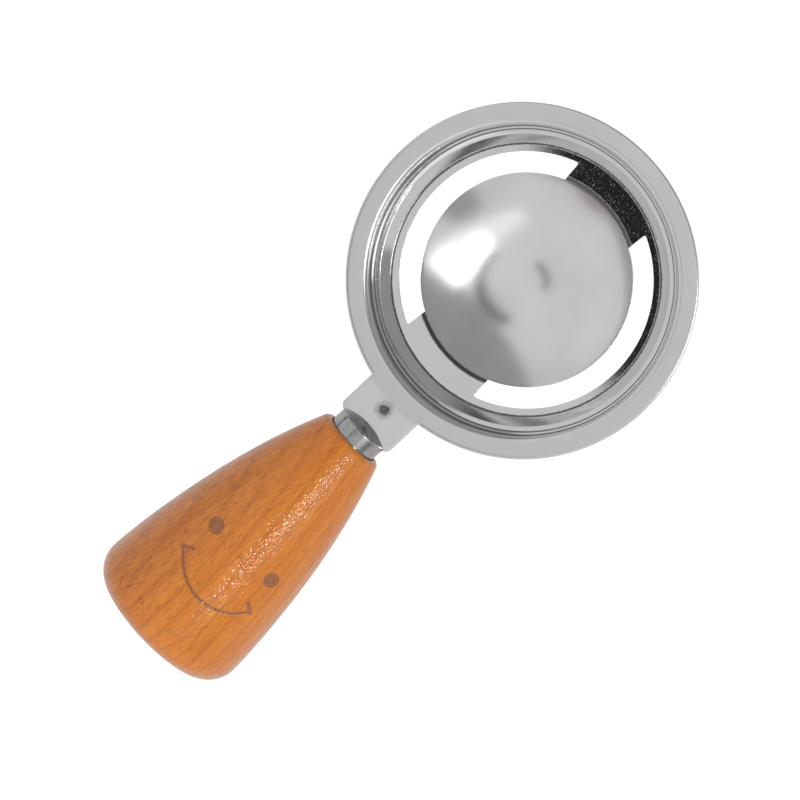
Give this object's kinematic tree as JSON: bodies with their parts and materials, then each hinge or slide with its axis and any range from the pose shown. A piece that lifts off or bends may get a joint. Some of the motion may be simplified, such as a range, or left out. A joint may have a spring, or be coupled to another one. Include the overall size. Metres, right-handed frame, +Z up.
{
  "type": "egg separator",
  "caption": "Hand-held egg separator: stepped steel cup with a flat rim, side slots and a yolk dish on a turned wooden handle.",
  "frame": {"origin": "middle of the underside of the object's box, with the rim level: the lowest point of the handle touches z = 0", "axes": "+X along the handle, from the cup to the handle's end; +Y to the left of that; +Z up, the way the cup opens"},
  "size_m": [0.1582, 0.08, 0.0394],
  "materials": {
    "cup_steel": "polished, satin in the dish",
    "tang_steel": "mill finish",
    "ferrule_steel": "polished, lightly scratched",
    "beech": "clear lacquer over beech",
    "resin": "set adhesive"
  },
  "bodies": {
    "root": {"separator_cup": "cup_steel", "tang": "tang_steel", "ferrule": "ferrule_steel", "handle": "beech", "adhesive": "resin"}
  },
  "joints": []
}
